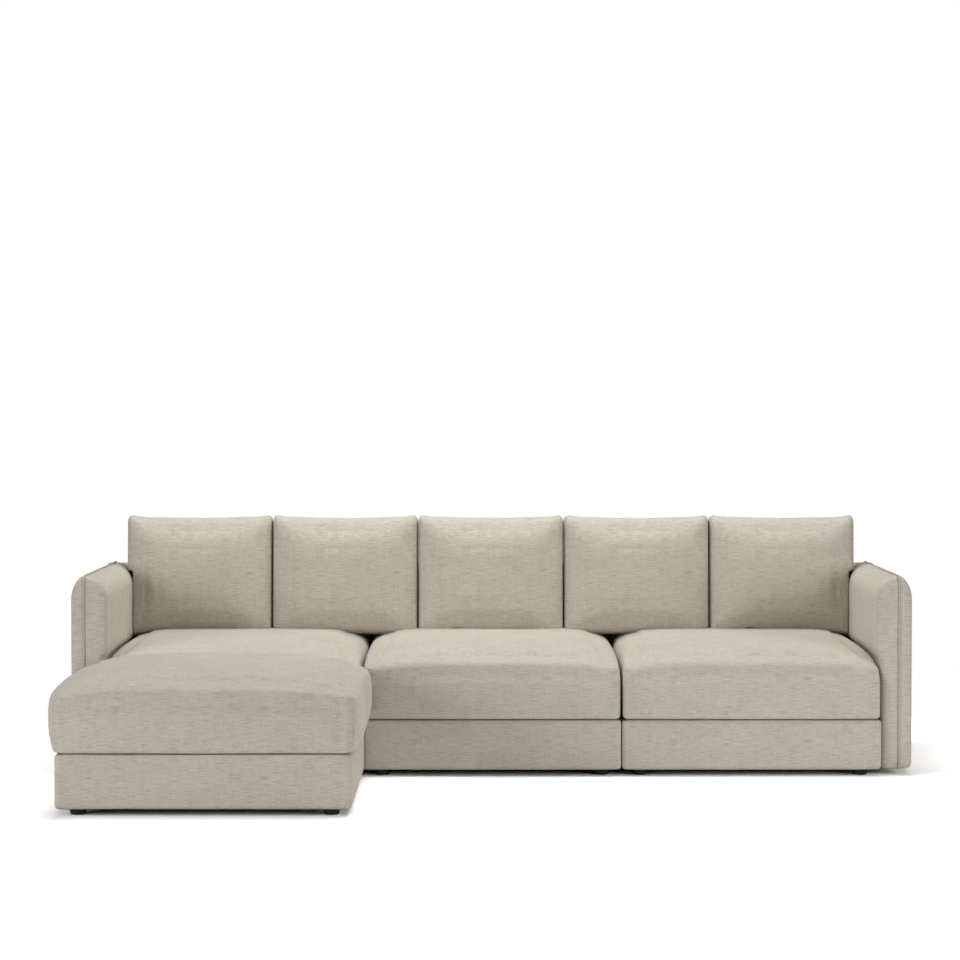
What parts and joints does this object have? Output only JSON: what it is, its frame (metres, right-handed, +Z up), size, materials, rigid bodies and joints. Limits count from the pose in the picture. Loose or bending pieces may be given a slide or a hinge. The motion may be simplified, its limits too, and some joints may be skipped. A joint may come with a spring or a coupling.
{
  "type": "three-seater sofa with footstool",
  "caption": "Low modular sofa in oatmeal linen weave, with boxed seat cushions, thin slab arms, loose back cushions and a matching upholstered footstool in front of one end.",
  "frame": {"origin": "centre of the set's plan outline, on the floor", "axes": "+X to the right as seen from the front, +Y towards the back, +Z up"},
  "size_m": [2.771, 1.7979, 0.8262],
  "materials": {
    "linen": "matte",
    "timber": "matte",
    "elastic_webbing": "matte",
    "felt": "matte",
    "nonwoven": "matte",
    "foot_plastic": "satin",
    "zinc_steel": "satin"
  },
  "bodies": {
    "sofa": {"left_seat_feet": "foot_plastic", "left_seat_foot_studs": "zinc_steel", "left_seat_frame": "timber", "left_seat_webbing": "elastic_webbing", "left_seat_deck": "felt", "left_seat_dust_cover": "nonwoven", "left_seat_cover": "linen", "left_seat_cushion": "linen", "middle_seat_feet": "foot_plastic", "middle_seat_foot_studs": "zinc_steel", "middle_seat_frame": "timber", "middle_seat_webbing": "elastic_webbing", "middle_seat_deck": "felt", "middle_seat_dust_cover": "nonwoven", "middle_seat_cover": "linen", "middle_seat_cushion": "linen", "right_seat_feet": "foot_plastic", "right_seat_foot_studs": "zinc_steel", "right_seat_frame": "timber", "right_seat_webbing": "elastic_webbing", "right_seat_deck": "felt", "right_seat_dust_cover": "nonwoven", "right_seat_cover": "linen", "right_seat_cushion": "linen", "arm_bolts": "zinc_steel", "back_bolts": "zinc_steel", "link_plates": "zinc_steel", "link_screws": "zinc_steel", "left_arm_pad": "linen", "left_arm_frame": "timber", "left_arm_welt": "linen", "right_arm_pad": "linen", "right_arm_frame": "timber", "right_arm_welt": "linen", "left_back_pad": "linen", "left_back_frame": "timber", "left_back_welt": "linen", "middle_back_pad": "linen", "middle_back_frame": "timber", "middle_back_welt": "linen", "right_back_pad": "linen", "right_back_frame": "timber", "right_back_welt": "linen"},
    "footstool": {"footstool_feet": "foot_plastic", "footstool_foot_studs": "zinc_steel", "footstool_frame": "timber", "footstool_webbing": "elastic_webbing", "footstool_deck": "felt", "footstool_dust_cover": "nonwoven", "footstool_cover": "linen", "footstool_cushion": "linen"},
    "back_cushion_1": {"back_cushion_1": "linen"},
    "back_cushion_2": {"back_cushion_2": "linen"},
    "back_cushion_3": {"back_cushion_3": "linen"},
    "back_cushion_4": {"back_cushion_4": "linen"},
    "back_cushion_5": {"back_cushion_5": "linen"}
  },
  "joints": [
    {"name": "footstool_slide", "type": "slide", "parent": "sofa", "child": "footstool", "axis": [0, -1, 0], "range_m": [0, 0.6]},
    {"name": "back_cushion_1_lift", "type": "slide", "parent": "sofa", "child": "back_cushion_1", "axis": [0, 0, 1], "range_m": [0, 0.4]},
    {"name": "back_cushion_2_lift", "type": "slide", "parent": "sofa", "child": "back_cushion_2", "axis": [0, 0, 1], "range_m": [0, 0.4]},
    {"name": "back_cushion_3_lift", "type": "slide", "parent": "sofa", "child": "back_cushion_3", "axis": [0, 0, 1], "range_m": [0, 0.4]},
    {"name": "back_cushion_4_lift", "type": "slide", "parent": "sofa", "child": "back_cushion_4", "axis": [0, 0, 1], "range_m": [0, 0.4]},
    {"name": "back_cushion_5_lift", "type": "slide", "parent": "sofa", "child": "back_cushion_5", "axis": [0, 0, 1], "range_m": [0, 0.4]}
  ]
}
